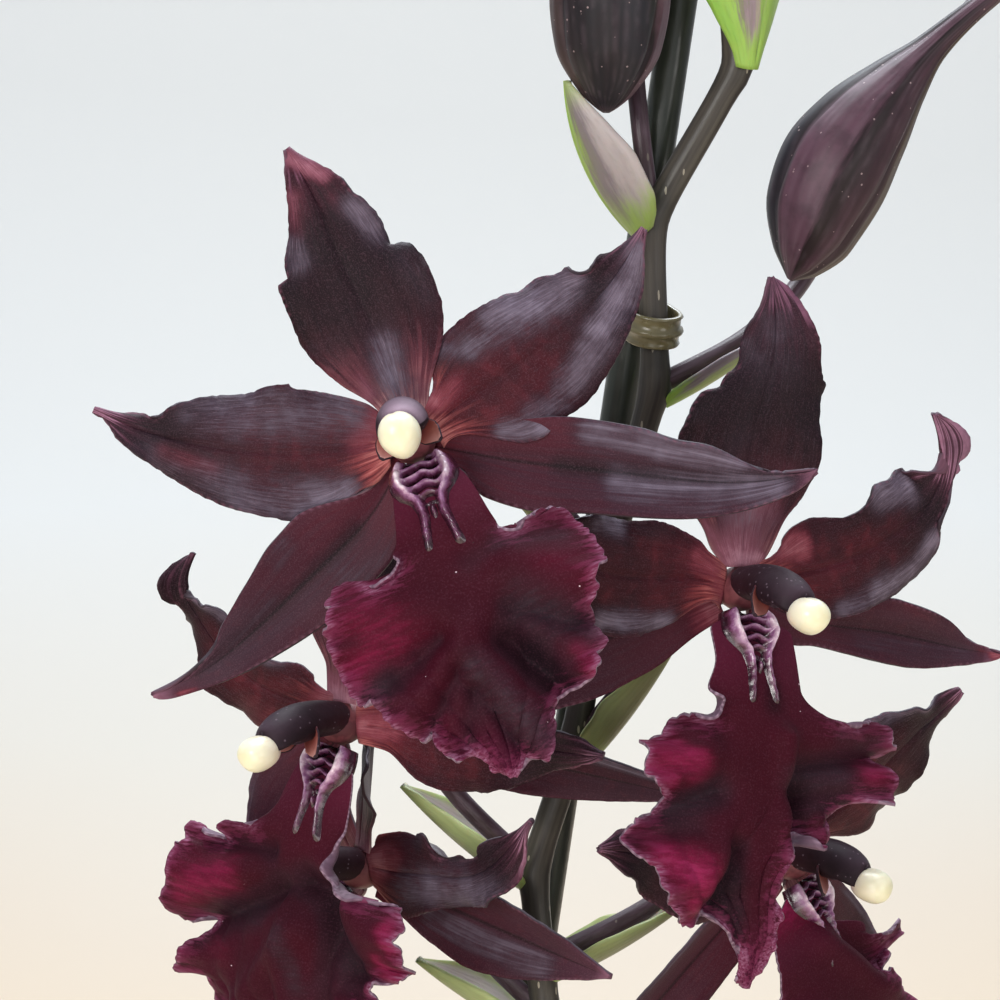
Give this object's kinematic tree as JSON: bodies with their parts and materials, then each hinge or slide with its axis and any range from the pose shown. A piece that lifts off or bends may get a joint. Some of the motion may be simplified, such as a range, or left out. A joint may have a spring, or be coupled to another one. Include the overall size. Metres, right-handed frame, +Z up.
{
  "type": "potted oncostele orchid",
  "caption": "Oncostele orchid in bloom: near-black maroon flowers with ruffled crimson lips on a staked zigzag stem, with pseudobulbs and strap leaves in a plain pot of bark.",
  "frame": {"origin": "middle of the pot's base, on the surface it stands on", "axes": "+Z up; the open blooms face -Y, and +X is to the viewer's right"},
  "size_m": [0.3906, 0.3646, 0.615],
  "materials": {
    "pot": "matte",
    "bark": "rough",
    "rhizome": "matte",
    "pseudobulb": "satin",
    "leaf": "satin",
    "stem": "satin",
    "bract_green": "satin",
    "bract_mauve": "satin",
    "stake": "satin",
    "clip": "satin",
    "bud": "satin",
    "tepal": "velvety",
    "lip": "velvety",
    "anther_cap": "gloss"
  },
  "bodies": {
    "root": {"pot": "pot", "bark": "bark", "rhizome": "rhizome", "stake": "stake", "flower_stem": "stem", "pseudobulb_1": "pseudobulb", "pseudobulb_2": "pseudobulb", "pseudobulb_3": "pseudobulb", "pseudobulb_4": "pseudobulb", "leaf_1": "leaf", "leaf_2": "leaf", "leaf_3": "leaf", "leaf_4": "leaf", "leaf_5": "leaf", "leaf_6": "leaf", "leaf_7": "leaf", "leaf_8": "leaf", "leaf_9": "leaf", "leaf_10": "leaf", "clip_1": "clip", "clip_2": "clip", "bract_1": "bract_green", "bract_2": "bract_green", "bract_3": "bract_green", "bract_4": "bract_green", "bract_5": "bract_green", "bract_6": "bract_mauve", "bract_7": "bract_green", "bract_8": "bract_green", "bract_9": "bract_green", "bud_1": "bud", "bud_2": "bud", "bud_3": "bud", "bud_4": "bud", "bud_5": "bud", "bud_6": "bud", "bloom_1": "tepal", "bloom_1_lip": "lip", "bloom_1_cap": "anther_cap", "bloom_2": "tepal", "bloom_2_lip": "lip", "bloom_2_cap": "anther_cap", "bloom_3": "tepal", "bloom_3_lip": "lip", "bloom_3_cap": "anther_cap", "bloom_4": "tepal", "bloom_4_lip": "lip", "bloom_4_cap": "anther_cap", "bloom_5": "tepal", "bloom_5_lip": "lip", "bloom_5_cap": "anther_cap"}
  },
  "joints": []
}
